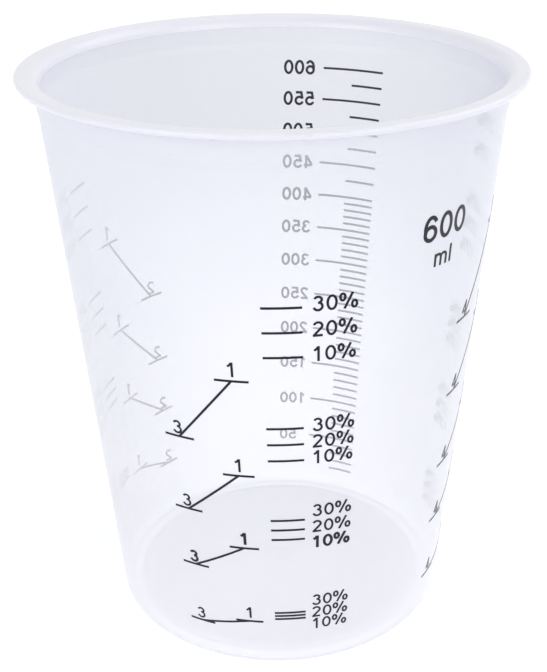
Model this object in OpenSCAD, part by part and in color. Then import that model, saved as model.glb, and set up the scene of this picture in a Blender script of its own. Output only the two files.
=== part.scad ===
// Graduated mixing cup: a tapered, injection-moulded cup with a stacking collar,
// a flange at the mouth and mixing scales printed on the outside of its wall.
// Millimetres, +Z up, origin at the centre of the foot on the table.
// Azimuths are in degrees round the cup, from the front (-Y) towards the right (+X).

/* [Cup] */
// Height from the table to the top of the rim
cup_h = 124; // [110:1:140]
// Outside diameter that the tapered wall would reach at the table
base_d = 75.5; // [70:0.5:80]
// Wall thickness, measured level
wall = 1; // [0.8:0.1:1.3]

/* [Rim] */
// Outside diameter of the flange at the mouth
rim_d = 104; // [98:0.5:110]
// How far the flange stands out from the collar
flange_w = 3.9; // [3.5:0.1:4.4]
// Thickness of the flange, whose edge is a full round
rim_t = 1.4; // [1.2:0.1:1.8]
// Depth of the stacking ledge below the top of the rim
collar_h = 7.2; // [5:0.2:12]
// How far the collar steps out from the wall at the ledge
ledge = 0.3; // [0.2:0.1:0.5]
// Radius under the flange, where it meets the collar
rim_fillet = 1.2; // [0.8:0.1:1.5]
// Radius with which the mouth flares out into the flange, inside
flare_r = 2.4; // [1.8:0.2:2.6]

/* [Base] */
// Radius between the wall and the foot, outside
base_corner = 2; // [1.2:0.2:3]
// Radius between the wall and the floor, inside
floor_corner = 1.6; // [0.8:0.2:3]
// Width of the flat foot ring
foot_w = 2.2; // [1.4:0.2:4]
// Height of the underside above the table, within the foot ring
foot_recess = 1.1; // [0.8:0.1:2.5]
// Thickness of the floor
floor_t = 1.2; // [1:0.1:2]
// Diameter of the dimple round the moulding gate, under the floor
gate_d = 7; // [5:0.5:10]
// Depth of that dimple
gate_depth = 0.4; // [0.2:0.1:0.6]
// Diameter of the gate's stub
stub_d = 1.6; // [1:0.2:3]
// Height of the gate's stub
stub_h = 0.3; // [0.1:0.05:0.5]

/* [Print] */
// Thickness of the ink
ink_t = 0.08; // [0.06:0.01:0.12]
// Width of a printed line
line_w = 0.5; // [0.3:0.05:0.7]
// Clear height that stays unprinted under the stacking ledge
print_margin = 2.5; // [1:0.5:8]
// Height at which the azimuths of the print are given
print_z = 50; // [0:5:110]
// Degrees round the cup that the print drifts for each millimetre of height
print_drift = -0.026; // [-0.04:0.002:0.04]

/* [Volume scale] */
// Azimuth at which every volume mark ends on the right, seen from the outside
scale_az = 148.2; // [140:0.1:150]
// Length of a main mark, in degrees round the cup
scale_main = 18.4; // [12:0.2:20]
// Length of a minor mark, in degrees round the cup
scale_minor = 9.6; // [6:0.2:11]
// Largest volume, in millilitres
scale_top = 600; // [450:50:600]
// Volume between two main marks
scale_step = 50; // [50:50:100]
// Volume between two fine marks, low on the cup
scale_fine = 10; // [5:5:10]
// Volume between two coarse marks, high on the cup
scale_coarse = 25; // [25:25:50]
// Volume above which the marks are coarse
scale_change = 400; // [200:50:500]

/* [Mixing scales] */
// Azimuth of the middle of the 2 to 1 scale
mix_2_az = -106; // [-110:1:-90]
// Azimuth of the middle of the 3 to 1 scale
mix_3_az = 0; // [-8:1:10]
// Azimuth of the middle of the 4 to 1 scale
mix_4_az = 87.5; // [80:0.5:92]
// Mixed volume of the smallest batch on the 3 to 1 and 4 to 1 scales
batch_1 = 44; // [40:1:60]
// Mixed volume of the second batch
batch_2 = 139; // [120:1:150]
// Mixed volume of the third batch
batch_3 = 234; // [215:1:250]
// Mixed volume of the fourth batch
batch_4 = 358; // [340:1:365]
// Mixed volume of the fifth batch, on the 4 to 1 scale only
batch_5 = 486; // [470:1:490]
// How much larger each batch of the 2 to 1 scale is
batch_2_extra = 20; // [0:1:22]
// Share of a batch that is poured in at its first mark, on the 2 to 1 scale
share_2 = 0.735; // [0.66:0.005:0.78]
// The same on the 3 to 1 scale
share_3 = 0.765; // [0.72:0.005:0.8]
// The same on the 4 to 1 scale
share_4 = 0.775; // [0.74:0.005:0.82]
// Thinner between two thinner lines, as a share of the batch
thinner_step = 0.09; // [0.08:0.002:0.1]
// Azimuth of the first part's marks, from the middle of their scale
first_az = -27.1; // [-30:0.1:-24]
// Azimuth of the second part's marks, from the middle of their scale
second_az = -10.9; // [-12:0.1:-9]
// Azimuth of the thinner lines, from the middle of their scale
thinner_az = 2.1; // [0:0.1:4]
// Length of a part's mark, in degrees round the cup
mark_span = 8.8; // [7:0.1:9]
// Length of a thinner line, in degrees round the cup
thinner_span = 9.7; // [8:0.1:10]

/* [Hidden] */
$fn = 180;
// Straight pieces in a quarter turn of a rounded edge
quarter_steps = 6;
// Cubic millimetres in a millilitre
ml = 1000;
// How far a cutting block passes through the ink on either side
cut_past = 3;
floor_z = foot_recess + floor_t;
ledge_z = cup_h - collar_h;
under_rim_z = cup_h - rim_t;
rim_r = rim_d / 2;
edge_r = rim_t / 2;
collar_r = rim_r - flange_w;
// Growth of the wall's radius for each millimetre of height, and its lean
taper = (collar_r - ledge - base_d / 2) / ledge_z;
lean = atan(taper);
foot_r = corner_centre(0, base_corner, 0)[0];
print_top = ledge_z - print_margin;
// Thinner lines over each batch
thinner_lines = [1, 2, 3];
small_batches = [batch_1, batch_2, batch_3, batch_4];
batches_2_to_1 = [for (b = small_batches) b + batch_2_extra];
batches_3_to_1 = small_batches;
batches_4_to_1 = concat(small_batches, batch_5);

// Outside radius of the tapered wall at height z
function wall_r(z) = base_d / 2 + taper * z;

// Height of the surface when the cup holds v millilitres. The inside is a frustum, whose
// volume grows with the cube of its radius, so the radius at the surface is a cube root.
function level(v) =
    let (r0 = wall_r(floor_z) - wall, r = pow(pow(r0, 3) + 3 * taper * v * ml / PI, 1 / 3))
    (r + wall - base_d / 2) / taper;

// Points on an arc round c, from angle a0 to a1
function arc(c, r, a0, a1) =
    let (n = ceil(abs(a1 - a0) / 90 * quarter_steps))
    [for (i = [0:n]) let (a = a0 + (a1 - a0) * i / n) c + r * [cos(a), sin(a)]];

// Centre of a round of radius r between the level plane z0 and the wall's face,
// where that face lies inset inside the outer one
function corner_centre(z0, r, inset) =
    [wall_r(z0 + r - r * sin(lean)) - inset - r * cos(lean), z0 + r];

function corner_arc(z0, r, inset, a0, a1) = arc(corner_centre(z0, r, inset), r, a0, a1);

// Half section of the moulding, anticlockwise from the gate under the floor
function cup_section() = concat(
    [[0, foot_recess + gate_depth - stub_h],
     [stub_d / 2, foot_recess + gate_depth - stub_h],
     [stub_d / 2, foot_recess + gate_depth],
     [gate_d / 2, foot_recess + gate_depth],
     [gate_d / 2, foot_recess],
     [foot_r - foot_w - foot_recess, foot_recess],
     [foot_r - foot_w, 0]],
    corner_arc(0, base_corner, 0, -90, -lean),
    [[wall_r(ledge_z), ledge_z],
     [collar_r, ledge_z + ledge]],
    arc([collar_r + rim_fillet, under_rim_z - rim_fillet], rim_fillet, 180, 90),
    arc([rim_r - edge_r, cup_h - edge_r], edge_r, -90, 90),
    arc([collar_r - wall + flare_r, cup_h - flare_r], flare_r, 90, 180),
    [[collar_r - wall, ledge_z + ledge],
     [wall_r(ledge_z) - wall, ledge_z]],
    corner_arc(floor_z, floor_corner, wall, -lean, -90),
    [[0, floor_z]]);

// Degrees round the cup by which the print is off its azimuth at height z
function drift(z) = print_drift * (z - print_z);

// Turns what is drawn at the front of the cup round to an azimuth
module at_azimuth(az) {
    rotate([0, 0, az]) children();
}

// Skin of ink on the wall between two heights, for a span of degrees round an azimuth
module ink_skin(z_low, z_high, az, span) {
    rotate_extrude(angle = span, start = az - 90 - span / 2)
        polygon([[wall_r(z_low), z_low],
                 [wall_r(z_low) + ink_t, z_low],
                 [wall_r(z_high) + ink_t, z_high],
                 [wall_r(z_high), z_high]]);
}

// One level line, left out where it would pass the top of the print
module level_line(v, az, span) {
    z = level(v);
    if (z < print_top)
        ink_skin(z - line_w / 2, z + line_w / 2, az + drift(z), span);
}

// Block that cuts a straight stroke out of a skin of ink at the front of the cup,
// between two heights whose azimuths lie half_span to the left and right
module stroke_block(z_left, z_right, half_span) {
    r_left = wall_r(z_left);
    r_right = wall_r(z_right);
    across = (r_left + r_right) * sin(half_span);
    middle = (r_right - r_left) * sin(half_span) / 2;
    rise = z_right - z_left;
    translate([middle, -(r_left + r_right) / 2, (z_left + z_right) / 2])
        rotate([0, -atan2(rise, across), 0])
            cube([norm([across, rise]), 2 * cut_past, line_w], center = true);
}

// A pair of level marks joined by a slanted stroke: the first part of a batch, lower and to
// the left, and the whole of it, higher and to the right
module mix_mark(share, batch, az) {
    z_first = level(batch * share);
    z_whole = level(batch);
    az_first = az + first_az + drift(z_first);
    az_whole = az + second_az + drift(z_whole);
    az_middle = (az_first + az_whole) / 2;
    az_gap = az_whole - az_first;
    if (z_whole < print_top)
        intersection() {
            ink_skin(z_first - line_w, z_whole + line_w, az_middle, az_gap + mark_span);
            union() {
                at_azimuth(az_first) stroke_block(z_first, z_first, mark_span / 2);
                at_azimuth(az_middle) stroke_block(z_first, z_whole, az_gap / 2);
                at_azimuth(az_whole) stroke_block(z_whole, z_whole, mark_span / 2);
            }
        }
}

module mix_marks(share, batches, az) {
    for (batch = batches) mix_mark(share, batch, az);
}

module thinner_marks(batches, az) {
    for (batch = batches, i = thinner_lines)
        level_line(batch * (1 + i * thinner_step), az + thinner_az, thinner_span);
}

module cup() {
    color("lavender", 0.5)
        rotate_extrude() polygon(cup_section());
}

module volume_scale() {
    color("darkslategray") {
        for (v = [scale_step:scale_step:scale_top])
            level_line(v, scale_az + scale_main / 2, scale_main);
        for (v = [scale_fine:scale_fine:scale_change])
            if (v % scale_step > 0)
                level_line(v, scale_az + scale_minor / 2, scale_minor);
        for (v = [scale_change + scale_coarse:scale_coarse:scale_top])
            if (v % scale_step > 0)
                level_line(v, scale_az + scale_minor / 2, scale_minor);
    }
}

module mix_marks_2_to_1() {
    color("darkslategray") mix_marks(share_2, batches_2_to_1, mix_2_az);
}

module thinner_lines_2_to_1() {
    color("darkslategray") thinner_marks(batches_2_to_1, mix_2_az);
}

module mix_marks_3_to_1() {
    color("darkslategray") mix_marks(share_3, batches_3_to_1, mix_3_az);
}

module thinner_lines_3_to_1() {
    color("darkslategray") thinner_marks(batches_3_to_1, mix_3_az);
}

module mix_marks_4_to_1() {
    color("darkslategray") mix_marks(share_4, batches_4_to_1, mix_4_az);
}

module thinner_lines_4_to_1() {
    color("darkslategray") thinner_marks(batches_4_to_1, mix_4_az);
}

cup();
volume_scale();
mix_marks_2_to_1();
thinner_lines_2_to_1();
mix_marks_3_to_1();
thinner_lines_3_to_1();
mix_marks_4_to_1();
thinner_lines_4_to_1();
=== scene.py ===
import math

import bpy
import numpy as np
from mathutils import Matrix, Vector


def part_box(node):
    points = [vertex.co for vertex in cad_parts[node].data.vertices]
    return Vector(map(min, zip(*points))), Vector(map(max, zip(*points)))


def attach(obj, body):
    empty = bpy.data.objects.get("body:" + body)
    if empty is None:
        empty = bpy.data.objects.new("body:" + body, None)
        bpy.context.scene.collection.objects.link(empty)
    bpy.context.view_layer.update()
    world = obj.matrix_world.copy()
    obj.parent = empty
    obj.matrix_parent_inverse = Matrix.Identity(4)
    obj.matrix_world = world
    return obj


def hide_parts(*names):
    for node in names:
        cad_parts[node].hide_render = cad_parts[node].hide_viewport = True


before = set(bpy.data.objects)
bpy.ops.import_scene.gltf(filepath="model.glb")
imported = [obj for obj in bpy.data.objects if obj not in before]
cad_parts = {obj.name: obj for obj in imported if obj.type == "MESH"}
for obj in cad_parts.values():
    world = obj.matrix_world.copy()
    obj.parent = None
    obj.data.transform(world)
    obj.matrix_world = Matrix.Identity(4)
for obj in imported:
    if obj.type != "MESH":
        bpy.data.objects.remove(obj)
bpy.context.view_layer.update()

# Lengths are in millimetres, and to_mesh turns them to metres. Azimuths are in degrees round
# the cup, from the front (-Y) towards the right (+X).
MM = 0.001

# The moulding
CUP_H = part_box("cup")[1].z / MM
RIM_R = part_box("cup")[1].x / MM
BASE_R = 37.75
WALL = 1.0
RIM_T = 1.4
FLANGE_W = 3.9
RIM_FILLET = 1.2
FLARE_R = 2.4
COLLAR_H = 7.2
LEDGE = 0.3
BASE_CORNER = 2.0
FLOOR_CORNER = 1.6
FOOT_W = 2.2
FOOT_RECESS = 1.1
FLOOR_T = 1.2
GATE_R = 3.5
GATE_DEPTH = 0.4
STUB_R = 0.8
STUB_H = 0.3
SOFT_EDGE = 0.12      # radius that the mould leaves on an edge with no radius of its own
LEDGE_SPREAD = 0.6    # how far the ledge's slope runs out above and below it
LEDGE_EDGE = 2.0      # radius at both ends of that slope
EDGE_ROUND = 0.499    # radius of the flange's two edges, as a share of its thickness
ARC_STEP = 9          # degrees of a rounded edge in one straight piece, at most
PRINT_SUNK = 0.03     # how far the wall comes out round the foot of the print

FLOOR_Z = FOOT_RECESS + FLOOR_T
LEDGE_Z = CUP_H - COLLAR_H
COLLAR_R = RIM_R - FLANGE_W
TAPER = (COLLAR_R - LEDGE - BASE_R) / LEDGE_Z
LEAN = math.atan(TAPER)

# The print
INK_T = 0.08
PRINT_MARGIN = 2.5     # clear height that stays unprinted under the ledge
PRINT_TOP = LEDGE_Z - PRINT_MARGIN
PRINT_Z = 50.0         # height at which the azimuths of the print are given
PRINT_DRIFT = -0.026   # degrees that it drifts round the cup for each millimetre of height
PRINT_SPREAD = 0.6     # power of the wall's radius with which the figures grow
CUBIC_MM = 1000        # in a millilitre
DIGIT_H = 3.15
STROKE = 0.15          # width of a stroke, as a share of the height of the figures
HEAVY = 1.3            # how much wider it is where the screen was inked more heavily
NUMBERS_WEIGHT = 1.2   # the same for the volume numbers
SCALE_TOP = 600
SCALE_STEP = 50
NUMBERS_AZ = 178.4
MIX_SCALES = {"2": -106.0, "3": 0.0, "4": 87.5}
BATCHES = {"2": (64, 159, 254, 378), "3": (44, 139, 234, 358), "4": (44, 139, 234, 358, 486)}
SHARES = {"2": 0.735, "3": 0.765, "4": 0.775}
THINNER_STEP = 0.09
FIRST_AZ = -27.4
SECOND_AZ = -11.0
PERCENT_AZ = 14.9
FIRST_GAP = 0.6       # from the first part's mark to the foot of its digit
SECOND_GAP = 0.95     # from the second part's mark to the foot of its digit
PERCENT_RISE = 0.5    # from the middle thinner line to the middle of its figure
# Least distances between the middles of two percentages, from the smallest batch up
PERCENT_PITCHES = (3.35, 4.1, 3.7, 3.7, 3.7)
CAPACITY_AZ = 45.0
# Words of the capacity figure, with their place up the cup and the height of their figures
CAPACITY = (("600", 101, 5.2), ("ml", 94.5, 3.6))

# The view, fitted to the photograph: lengths in millimetres, angles in radians, pixels
IMAGE_W, IMAGE_H = 547, 672
CAMERA_BACK = 245.76
CAMERA_UP = 180.40
CAMERA_PITCH = 0.4508
CAMERA_YAW = -0.0177
CAMERA_ROLL = -0.0063
FOCAL_PX = 1205.7
CENTRE_X, CENTRE_Y = 296.10, 337.78
SENSOR = 36.0

# Each plastic: its colours at the foot and at the rim, the shares of light that it scatters on
# the wall, on the flange and at grazing, the range of its roughness, and that of its gloss.
# Besides a faint cool tint, the run of colour from foot to rim is painted light and shade: on
# the wall it is lighter at the foot, painted light low on the cup, and darker at the rim,
# painted shade towards the top.
# The shares stay under a quarter on the inside and over it elsewhere, because the denoiser
# draws a sharp edge where one surface passes through a quarter.
PLASTICS = {
    "wall_plastic": ((0.955, 0.955, 0.99), (0.79, 0.80, 0.875), (0.36, 0.45, 1.0),
                     (0.55, 0.65), 0.25),
    "inside_plastic": ((0.955, 0.955, 0.99), (0.93, 0.93, 1.0), (0.03, 0.2, 0.24),
                       (0.4, 0.5), 0.25),
    "flange_plastic": ((0.80, 0.80, 0.88), (0.91, 0.905, 0.97), (0.7, 0.7, 1.0),
                       (0.3, 0.4), 0.08),
}
GRAZING_POWER = 1.25      # how late the scattering grows towards grazing
# Cycles a metre of the melt's flow marks, the haze, the mould's waviness and the ink's mottle
FLOW_SCALE, HAZE_SCALE, WAVE_SCALE, MOTTLE_SCALE = 45, 60, 90, 1500
FLOW_SHIFT = (-0.12, 0.04)     # how far the flow marks shift the tint
WAVE_STRENGTH, WAVE_DEPTH = 0.05, 0.0005
INK_COLOURS = (0.004, 0.004, 0.007), (0.010, 0.011, 0.017)
INK_ROUGHNESS = (0.45, 0.6)

# The studio, with its distances in metres and its powers in watts
WHITE = (1.0, 1.0, 1.0)
BEHIND = (0.81, 0.83, 0.92)    # colour of the white backdrop as it shows through plastic
FLOOR_HALF = 3000              # half the side of the floor, in millimetres
FLOOR_COLOUR = (0.91, 0.915, 0.94)
GLOW, GLOW_REACH = (0.32, 0.48), (0.3, 1.6)    # brightness added to the floor, from near to far
# NEAR_TONE paints a glow on the floor under the cup where it shows through the plastic, lifting
# the cup's own shadow there.
NEAR_TONE, FAR_TONE = (1.7, 1.7, 1.85), (0.25, 0.25, 0.28)    # its colour behind plastic
TONE_REACH = (0.04, 0.36)
WORLD_COLOUR, WORLD_STRENGTH = (0.97, 0.98, 1.0), 0.62
LAMPS = {"lamp_left": ((-0.8, -0.9, 0.45), 4.8),
         "lamp_front": ((0.7, -1.0, 0.45), 4.0),
         "lamp_right": ((0.8, 0.3, 0.8), 3.0)}
LAMP_SIZE = 0.9
LAMPS_AIM = (0, 0, 0.06)


def wall_r(z):
    """Outside radius of the tapered wall: the radius at the table and the taper times z."""
    return BASE_R + TAPER * z


def level(volume):
    """Height of the surface over a volume in millilitres. The inside is a frustum, so the cube
    of the radius at the surface is the cube of the floor's radius plus 3 taper volume / pi."""
    floor_r = wall_r(FLOOR_Z) - WALL
    surface_r = np.cbrt(floor_r**3 + 3 * TAPER * volume * CUBIC_MM / math.pi)
    return (surface_r + WALL - BASE_R) / TAPER


def to_mesh(name, points, faces):
    """A new object from points in millimetres and faces, shaded smooth, in the scene."""
    mesh = bpy.data.meshes.new(name)
    mesh.from_pydata(np.asarray(points) * MM, [], faces)
    mesh.shade_smooth()
    piece = bpy.data.objects.new(name, mesh)
    bpy.context.scene.collection.objects.link(piece)
    return piece


def rounded(corners, hold=0.5):
    """A profile through (r, z, radius) corners, each rounded by an arc that touches both its
    sides: the arc's middle lies on the bisector at radius / sin(half the angle). A point a
    little beyond each arc keeps the shading of the long sides level."""
    corners = np.array(corners, float)
    path = [corners[0, :2]]
    for before, (*here, radius), after in zip(corners[:-2], corners[1:-1], corners[2:]):
        here = np.array(here)
        back, ahead = before[:2] - here, after[:2] - here
        back_len, ahead_len = np.linalg.norm(back), np.linalg.norm(ahead)
        back, ahead = back / back_len, ahead / ahead_len
        half = math.acos(np.clip(back @ ahead, -1, 1)) / 2
        reach = radius / math.tan(half)
        centre = here + (back + ahead) / np.linalg.norm(back + ahead) * radius / math.sin(half)
        start, end = here + back * reach - centre, here + ahead * reach - centre
        turn = math.pi - 2 * half
        steps = max(3, math.ceil(turn / math.radians(ARC_STEP)))
        t = np.linspace(0, 1, steps + 1)[:, None]
        arc = (start * np.sin((1 - t) * turn) + end * np.sin(t * turn)) / math.sin(turn)
        if back_len > 2 * (reach + hold):
            path.append(here + back * (reach + hold))
        path.extend(centre + arc)
        if ahead_len > 2 * (reach + hold):
            path.append(here + ahead * (reach + hold))
    path.append(corners[-1, :2])
    return np.array(path)


def turned(name, profile, segments=360):
    """A solid of revolution. The profile runs anticlockwise from the axis back to the axis,
    so its faces point outwards, and its two ends are single points on the axis."""
    ring = profile[1:-1]
    angle = np.linspace(0, 2 * np.pi, segments, endpoint=False)
    r, z = ring[:, 0, None], ring[:, 1, None]
    grid = np.stack([r * np.cos(angle), r * np.sin(angle), z + 0 * angle], -1).reshape(-1, 3)
    low, high = len(grid), len(grid) + 1
    points = np.vstack([grid, [0, 0, profile[0, 1]], [0, 0, profile[-1, 1]]])
    row = np.arange(segments)
    step = np.roll(row, -1)
    start = np.arange(len(ring) - 1)[:, None] * segments
    quads = np.stack([start + row, start + step, start + segments + step,
                      start + segments + row], -1).reshape(-1, 4)
    last = (len(ring) - 1) * segments
    fan_low = np.stack([np.full(segments, low), step, row], -1)
    fan_high = np.stack([np.full(segments, high), last + row, last + step], -1)
    return to_mesh(name, points, quads.tolist() + fan_low.tolist() + fan_high.tolist())


def make_cup():
    """The moulding, turned from its half section: gate, foot ring, wall, ledge, collar,
    flange, and the inside back to the middle of the floor."""
    under_rim_z = CUP_H - RIM_T
    foot_r = wall_r(BASE_CORNER) - BASE_CORNER
    ledge_low, ledge_high = LEDGE_Z - LEDGE_SPREAD, LEDGE_Z + LEDGE + LEDGE_SPREAD
    profile = rounded([
        (0, FOOT_RECESS + GATE_DEPTH - STUB_H, 0),
        (STUB_R, FOOT_RECESS + GATE_DEPTH - STUB_H, SOFT_EDGE / 2),
        (STUB_R, FOOT_RECESS + GATE_DEPTH, SOFT_EDGE / 2),
        (GATE_R, FOOT_RECESS + GATE_DEPTH, SOFT_EDGE),
        (GATE_R, FOOT_RECESS, SOFT_EDGE),
        (foot_r - FOOT_W - FOOT_RECESS, FOOT_RECESS, 2 * SOFT_EDGE),
        (foot_r - FOOT_W, 0, 2 * SOFT_EDGE),
        (wall_r(0) + PRINT_SUNK, 0, BASE_CORNER),
        (wall_r(ledge_low) + PRINT_SUNK, ledge_low, LEDGE_EDGE),
        (COLLAR_R, ledge_high, LEDGE_EDGE),
        (COLLAR_R, under_rim_z, RIM_FILLET),
        (RIM_R, under_rim_z, EDGE_ROUND * RIM_T),
        (RIM_R, CUP_H, EDGE_ROUND * RIM_T),
        (COLLAR_R - WALL, CUP_H, FLARE_R),
        (COLLAR_R - WALL, ledge_high, LEDGE_EDGE),
        (wall_r(ledge_low) - WALL, ledge_low, LEDGE_EDGE),
        (wall_r(FLOOR_Z) - WALL, FLOOR_Z, FLOOR_CORNER),
        (0, FLOOR_Z, 0),
    ])
    return turned("cup_moulding", profile)


def bend(x, y, rx, ry, start, end, count=15):
    """Points on part of an ellipse about (x, y), from one angle to another in degrees."""
    angle = np.radians(np.linspace(start, end, count))
    return np.stack([x + rx * np.cos(angle), y + ry * np.sin(angle)], -1)


def straight(*ends):
    """Points of a straight stroke, or of one with corners."""
    return np.array(ends, float)


def figures():
    """The strokes of each figure as centre lines, on a body one figure high, with the width
    that the figure takes up. A stroke of even width along them makes the figure."""
    low, high = STROKE / 2, 1 - STROKE / 2
    wide = 0.78
    ring = [bend(0.39, 0.5, 0.255, 0.5 - low, 0, 360, 33)]
    percent_ring = [bend(x, y, 0.145, 0.5 * (0.5 - low), 0, 360, 21)
                    for x, y in ((0.23, 0.75), (0.94, 0.25))]
    return {
        "0": (wide, ring),
        "1": (wide, [straight((0.19, 0.72), (0.33, 0.82), (0.43, 0.96)),
                     straight((0.45, 0), (0.45, 1))]),
        "2": (wide, [np.vstack([bend(0.38, high - 0.22, 0.24, 0.22, 165, -40),
                                straight((0.13, low))]),
                     straight((0.07, low), (0.65, low))]),
        "3": (wide, [bend(0.37, high - 0.19, 0.21, 0.19, 160, -90),
                     bend(0.37, low + 0.245, 0.25, 0.245, 90, -165)]),
        "4": (wide, [straight((0.49, 0.96), (0.07, 0.28)), straight((0.05, 0.25), (0.67, 0.25)),
                     straight((0.50, 0), (0.50, 1))]),
        "5": (wide, [straight((0.62, high), (0.20, high)), straight((0.23, 1), (0.13, 0.46)),
                     bend(0.36, low + 0.26, 0.26, 0.26, 135, -165, 21)]),
        "6": (wide, [bend(0.39, low + 0.25, 0.25, 0.25, 0, 360, 27),
                     bend(0.41, 0.5, 0.27, 0.5 - low, 35, 205)]),
        "%": (1.18, percent_ring + [straight((0.34, 0), (0.82, 1))]),
        "m": (1.14, [straight((0.10, 0), (0.10, 0.72)),
                     np.vstack([bend(0.305, 0.47, 0.205, 0.19, 180, 0), straight((0.51, 0))]),
                     np.vstack([bend(0.715, 0.47, 0.205, 0.19, 180, 0), straight((0.92, 0))])]),
        "l": (0.30, [straight((0.12, 0), (0.12, 1))]),
    }


def stroked(line, width):
    """A flat bar of even width along a centre line: each point is moved sideways by half the
    width along the line's normal, at out 0 and at out 1. Its ends are closed, or a closed
    line is joined to itself. Points are (right, up, out)."""
    closed = np.allclose(line[0], line[-1])
    if closed:
        line = line[:-1]
        along = np.roll(line, -1, 0) - np.roll(line, 1, 0)
    else:
        along = np.gradient(line, axis=0)
    along /= np.linalg.norm(along, axis=1)[:, None]
    side = np.stack([-along[:, 1], along[:, 0]], -1) * width / 2
    corners = [(line + side, 0), (line - side, 0), (line - side, 1), (line + side, 1)]
    points = np.stack([np.column_stack([flat, np.full(len(line), out)])
                       for flat, out in corners], 1).reshape(-1, 3)
    here = np.arange(len(line) - (0 if closed else 1))[:, None] * 4
    ahead = (here + 4) % len(points)
    edge = np.arange(4)
    after = (edge + 1) % 4
    faces = np.stack([here + edge, ahead + edge, ahead + after, here + after], -1)
    faces = faces.reshape(-1, 4).tolist()
    if not closed:
        last = len(points) - 4
        faces += [[0, 1, 2, 3], [last + 3, last + 2, last + 1, last]]
    return points, faces


def flat_words(words, height, weight):
    """Words as a flat mesh of the given figure height: points (right, up, out) in
    millimetres, with out from 0 to 1, and faces. The weight widens every stroke."""
    blocks, place = [], 0.0
    for sign in words:
        advance, lines = FIGURES[sign]
        for line in lines:
            points, sign_faces = stroked(line, STROKE * weight)
            blocks.append((points + (place, 0, 0), sign_faces))
        place += advance
    points, faces = joined(blocks)
    points[:, 0] -= points[:, 0].min()
    points[:, :2] *= height
    return points, faces


def joined(blocks):
    """The points and faces of many blocks as one."""
    points, faces, count = [], [], 0
    for block, block_faces in blocks:
        points.append(block)
        faces += [tuple(i + count for i in face) for face in block_faces]
        count += len(block)
    return np.vstack(points), faces


def printed(words, azimuth, z, across="middle", up="middle", height=DIGIT_H, weight=1.0):
    """Words wrapped on the wall: right becomes azimuth, up climbs the leaning wall, and out
    becomes the thickness of the ink. Their place is given by their middle, foot or end, and
    their size grows as the wall's radius to the power of PRINT_SPREAD."""
    height *= (wall_r(z) / wall_r(PRINT_Z))**PRINT_SPREAD
    points, faces = flat_words(words, height, weight)
    width = points[:, 0].max()
    points[:, 0] -= {"middle": width / 2, "end": width}[across]
    points[:, 1] -= {"middle": height / 2, "foot": 0}[up]
    climb = z + points[:, 1] * math.cos(LEAN)
    turn = np.radians(azimuth + PRINT_DRIFT * (climb - PRINT_Z)) + points[:, 0] / wall_r(z)
    r = wall_r(climb) + points[:, 2] * INK_T
    return np.stack([r * np.sin(turn), -r * np.cos(turn), climb], -1), faces


def together(name, blocks):
    """One object out of many blocks of points and faces."""
    piece = to_mesh(name, *joined(blocks))
    piece.data.shade_flat()
    return piece


def make_volume_numbers():
    """The numbers beside the main marks of the volume scale, all ending at one azimuth."""
    return together("volume_numbers", [
        printed(str(volume), NUMBERS_AZ, level(volume), across="end", weight=NUMBERS_WEIGHT)
        for volume in range(SCALE_STEP, SCALE_TOP + 1, SCALE_STEP)])


def make_mix_figures(parts):
    """The figures of one mixing scale: its parts on the marks and its thinner percentages."""
    middle = MIX_SCALES[parts]
    blocks = []
    for batch, least_pitch in zip(BATCHES[parts], PERCENT_PITCHES):
        first, whole = level(batch * SHARES[parts]), level(batch)
        weight = HEAVY if batch == BATCHES[parts][1] else 1.0
        blocks.append(printed(parts, middle + FIRST_AZ, first + FIRST_GAP, up="foot",
                              weight=weight))
        blocks.append(printed("1", middle + SECOND_AZ, whole + SECOND_GAP, up="foot",
                              weight=weight))
        lines = level(batch * (1 + THINNER_STEP * np.array([1, 2, 3])))
        pitch = max(lines[1] - lines[0], least_pitch)
        for tenth, line in enumerate(lines, 1):
            if line < PRINT_TOP:
                place = lines[1] + PERCENT_RISE + (tenth - 2) * pitch
                blocks.append(printed(f"{tenth}0%", middle + PERCENT_AZ, place,
                                      weight=weight if tenth == 1 else 1.0))
    return together(f"figures_{parts}_to_1", blocks)


def make_capacity():
    """The plain capacity figure high on the front."""
    return together("capacity_figure", [printed(words, CAPACITY_AZ, z, height=height)
                                        for words, z, height in CAPACITY])


def new_material(name):
    """An empty node material, with its Principled shader and output joined."""
    material = bpy.data.materials.new(name)
    material.use_nodes = True
    nodes, links = material.node_tree.nodes, material.node_tree.links
    nodes.clear()
    shader = nodes.new("ShaderNodeBsdfPrincipled")
    output = nodes.new("ShaderNodeOutputMaterial")
    links.new(shader.outputs[0], output.inputs["Surface"])
    return material, nodes, links, shader


def put(links, value, socket):
    """Gives a socket its value: a link from another socket, a colour or a number."""
    if isinstance(value, bpy.types.NodeSocket):
        links.new(value, socket)
    elif isinstance(value, tuple):
        socket.default_value = (*value, 1)
    else:
        socket.default_value = value


def calculated(nodes, links, operation, first, second, clamp=False):
    """The result of one sum on two values."""
    node = nodes.new("ShaderNodeMath")
    node.operation = operation
    node.use_clamp = clamp
    put(links, first, node.inputs[0])
    put(links, second, node.inputs[1])
    return node.outputs[0]


def mapped(nodes, links, value, before, after):
    """A value mapped from one range to another, and held at that range's ends."""
    ramp = nodes.new("ShaderNodeMapRange")
    for name, end in zip(("From Min", "From Max", "To Min", "To Max"), (*before, *after)):
        put(links, end, ramp.inputs[name])
    links.new(value, ramp.inputs["Value"])
    return ramp.outputs["Result"]


def mixed(nodes, links, factor, low, high):
    """A colour between two others, by a factor from 0 to 1."""
    mix = nodes.new("ShaderNodeMix")
    mix.data_type = "RGBA"
    put(links, low, mix.inputs["A"])
    put(links, high, mix.inputs["B"])
    links.new(factor, mix.inputs["Factor"])
    return mix.outputs["Result"]


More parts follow.
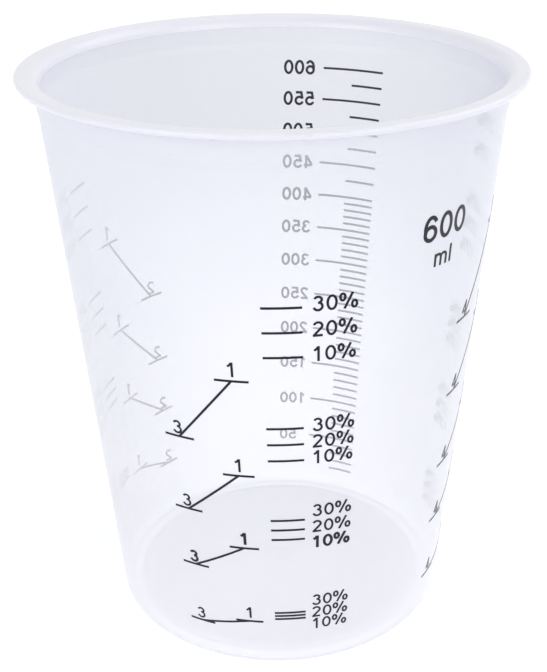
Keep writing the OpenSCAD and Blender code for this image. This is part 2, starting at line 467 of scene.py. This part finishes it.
def noise(nodes, links, scale, detail=3.0):
    """Noise on Object coordinates, with its scale in cycles a metre."""
    where = nodes.new("ShaderNodeTexCoord")
    pattern = nodes.new("ShaderNodeTexNoise")
    pattern.inputs["Scale"].default_value = scale
    pattern.inputs["Detail"].default_value = detail
    links.new(where.outputs["Object"], pattern.inputs["Vector"])
    return pattern.outputs[0]


def spread(nodes, links, source, after):
    """Maps a noise's usual range to another one."""
    return mapped(nodes, links, source, (0.3, 0.7), after)


def translucent_plastic(name, low, high, hazes, roughness, gloss):
    """Natural polypropylene: a part of the light goes straight through it, less of it where
    the path through the wall is long, and the rest is scattered back as a milky white.
    The hazes are the share scattered by the wall, by the foot of the flange, and at grazing.
    Its base colour runs from a colour at the foot to one at the rim. This is a faint cool tint
    plus painted light and shade: a lighter foot colour paints light low on the cup, and a
    darker rim colour paints shade towards the top. The faint marks of the melt's flow shift it,
    and its gloss has the mould's slight waviness."""
    material, nodes, links, shader = new_material(name)
    shader.inputs["IOR"].default_value = 1.49
    shader.inputs["Coat Weight"].default_value = 0.5
    shader.inputs["Coat Roughness"].default_value = gloss

    where = nodes.new("ShaderNodeTexCoord")
    height = nodes.new("ShaderNodeSeparateXYZ")
    links.new(where.outputs["Object"], height.inputs[0])
    # Painted light and shade: the colour runs with height from the foot colour to the rim
    # colour, which on the wall is lighter low down and darker towards the rim, shifted by the
    # melt's flow marks.
    climb = mapped(nodes, links, height.outputs["Z"], (0.0, CUP_H * MM), (0.0, 1.0))
    flow = spread(nodes, links, noise(nodes, links, FLOW_SCALE, 2.0), FLOW_SHIFT)
    flow = calculated(nodes, links, "ADD", climb, flow, clamp=True)
    links.new(mixed(nodes, links, flow, low, high), shader.inputs["Base Color"])

    on_wall, on_flange, at_grazing = hazes
    ledge_to_flange = ((LEDGE_Z - LEDGE_SPREAD) * MM, (CUP_H - FLARE_R) * MM)
    head_on = mapped(nodes, links, height.outputs["Z"], ledge_to_flange, (on_wall, on_flange))
    facing = nodes.new("ShaderNodeLayerWeight")
    facing.inputs["Blend"].default_value = 0.5
    steep = calculated(nodes, links, "POWER", facing.outputs["Facing"], GRAZING_POWER)
    links.new(mapped(nodes, links, steep, (0.0, 1.0), (head_on, at_grazing)),
              shader.inputs["Alpha"])

    haze = noise(nodes, links, HAZE_SCALE)
    links.new(spread(nodes, links, haze, roughness), shader.inputs["Roughness"])
    bump = nodes.new("ShaderNodeBump")
    bump.inputs["Strength"].default_value = WAVE_STRENGTH
    bump.inputs["Distance"].default_value = WAVE_DEPTH
    links.new(noise(nodes, links, WAVE_SCALE, 1.0), bump.inputs["Height"])
    links.new(bump.outputs["Normal"], shader.inputs["Coat Normal"])
    return material


def screen_ink():
    """Dark screen ink: satin, with a faint mottle where it lies thinner."""
    material, nodes, links, shader = new_material("screen_ink")
    shader.inputs["Specular IOR Level"].default_value = 0.2
    shader.inputs["Sheen Weight"].default_value = 1.0
    shader.inputs["Sheen Roughness"].default_value = 0.35
    mottle = noise(nodes, links, MOTTLE_SCALE, 2.0)
    shade = spread(nodes, links, mottle, (0.0, 1.0))
    links.new(mixed(nodes, links, shade, *INK_COLOURS), shader.inputs["Base Color"])
    links.new(spread(nodes, links, mottle, INK_ROUGHNESS), shader.inputs["Roughness"])
    return material


def seen_rays(nodes, links):
    """1 for a ray of the camera, a reflection or a view through the plastic, else 0."""
    path = nodes.new("ShaderNodeLightPath").outputs
    seen = calculated(nodes, links, "MAXIMUM", path["Is Camera Ray"], path["Is Glossy Ray"])
    return calculated(nodes, links, "MAXIMUM", seen, path["Is Transmission Ray"])


def behind_plastic(nodes, links, tone):
    """White, or a tone for a ray that has gone straight through plastic."""
    path = nodes.new("ShaderNodeLightPath")
    return mixed(nodes, links, path.outputs["Transparent Depth"], WHITE, tone)


def studio_white(name):
    """A surface that lights the cup as its pale colour does, and that the camera, and what it
    sees in or through the cup, sees with the missing brightness added, up to white. Behind
    plastic the addition runs from a strong tone under the cup, a painted glow that lifts the
    cup's own shadow on the floor, to a faint one far from it."""
    material, nodes, links, shader = new_material(name)
    shader.inputs["Base Color"].default_value = (*FLOOR_COLOUR, 1)
    shader.inputs["Roughness"].default_value = 1.0
    shader.inputs["Specular IOR Level"].default_value = 0.0
    where = nodes.new("ShaderNodeTexCoord")
    distance = nodes.new("ShaderNodeVectorMath")
    distance.operation = "LENGTH"
    links.new(where.outputs["Object"], distance.inputs[0])
    away = mapped(nodes, links, distance.outputs["Value"], TONE_REACH, (0.0, 1.0))
    tone = mixed(nodes, links, away, NEAR_TONE, FAR_TONE)
    links.new(behind_plastic(nodes, links, tone), shader.inputs["Emission Color"])
    glow = mapped(nodes, links, distance.outputs["Value"], GLOW_REACH, GLOW)
    links.new(calculated(nodes, links, "MULTIPLY", seen_rays(nodes, links), glow),
              shader.inputs["Emission Strength"])
    return material


def make_studio():
    """A wide pale floor, an even pale world, a white backdrop and three large soft lamps."""
    half = FLOOR_HALF
    floor = to_mesh("studio_floor", [(-half, -half, 0), (half, -half, 0), (half, half, 0),
                                     (-half, half, 0)], [(0, 1, 2, 3)])
    floor.data.materials.append(studio_white("studio_floor"))

    world = bpy.data.worlds.new("studio")
    bpy.context.scene.world = world
    world.use_nodes = True
    nodes, links = world.node_tree.nodes, world.node_tree.links
    nodes.clear()
    light = nodes.new("ShaderNodeBackground")
    light.inputs["Color"].default_value = (*WORLD_COLOUR, 1)
    light.inputs["Strength"].default_value = WORLD_STRENGTH
    backdrop = nodes.new("ShaderNodeBackground")
    links.new(behind_plastic(nodes, links, BEHIND), backdrop.inputs["Color"])
    mix = nodes.new("ShaderNodeMixShader")
    links.new(seen_rays(nodes, links), mix.inputs[0])
    links.new(light.outputs[0], mix.inputs[1])
    links.new(backdrop.outputs[0], mix.inputs[2])
    output = nodes.new("ShaderNodeOutputWorld")
    links.new(mix.outputs[0], output.inputs["Surface"])

    for name, (place, power) in LAMPS.items():
        lamp = bpy.data.lights.new(name, "AREA")
        lamp.shape = "DISK"
        lamp.size = LAMP_SIZE
        lamp.energy = power
        holder = bpy.data.objects.new(name, lamp)
        bpy.context.scene.collection.objects.link(holder)
        turn = (Vector(place) - Vector(LAMPS_AIM)).to_track_quat("Z", "Y")
        holder.matrix_world = Matrix.Translation(place) @ turn.to_matrix().to_4x4()


def make_camera():
    """The camera of the photograph: behind -Y, turned, pitched down and rolled a little, with
    the middle of its image where the fit puts it."""
    lens = bpy.data.cameras.new("camera")
    lens.sensor_width = SENSOR
    lens.lens = FOCAL_PX * SENSOR / IMAGE_H
    lens.shift_x = (IMAGE_W / 2 - CENTRE_X) / IMAGE_H
    lens.shift_y = (CENTRE_Y - IMAGE_H / 2) / IMAGE_H
    lens.clip_start = 0.01
    camera = bpy.data.objects.new("camera", lens)
    camera.matrix_world = (Matrix.Translation((0, -CAMERA_BACK * MM, CAMERA_UP * MM))
                           @ Matrix.Rotation(CAMERA_YAW, 4, "Z")
                           @ Matrix.Rotation(math.pi / 2 - CAMERA_PITCH, 4, "X")
                           @ Matrix.Rotation(CAMERA_ROLL, 4, "Z"))
    bpy.context.scene.collection.objects.link(camera)
    bpy.context.scene.camera = camera


FIGURES = figures()


def main():
    """Makes the moulding and the figures, gives everything its material, and lights it."""
    ink = screen_ink()
    cup = make_cup()
    for name, looks in PLASTICS.items():
        cup.data.materials.append(translucent_plastic(name, *looks))
    middles = np.empty(len(cup.data.polygons) * 3, np.float32)
    cup.data.polygons.foreach_get("center", middles)
    x, y, z = middles.reshape(-1, 3).T / MM
    inside = (np.hypot(x, y) < wall_r(z) - WALL / 2) & (z > FLOOR_Z - SOFT_EDGE)
    # The plastics in their order above: 0 on the wall, 1 inside, 2 on the flange
    part = np.where(z > CUP_H - FLARE_R, 2, np.where(inside, 1, 0))
    cup.data.polygons.foreach_set("material_index", part.astype(np.int32))
    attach(cup, "root")
    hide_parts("cup")

    for name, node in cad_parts.items():
        if name != "cup":
            node.data.materials.clear()
            node.data.materials.append(ink)

    figures = [make_volume_numbers(), make_capacity()]
    figures += [make_mix_figures(parts) for parts in MIX_SCALES]
    for piece in figures:
        piece.data.materials.append(ink)
        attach(piece, "root")

    make_studio()
    make_camera()
    bpy.context.scene.view_settings.view_transform = "Standard"


main()
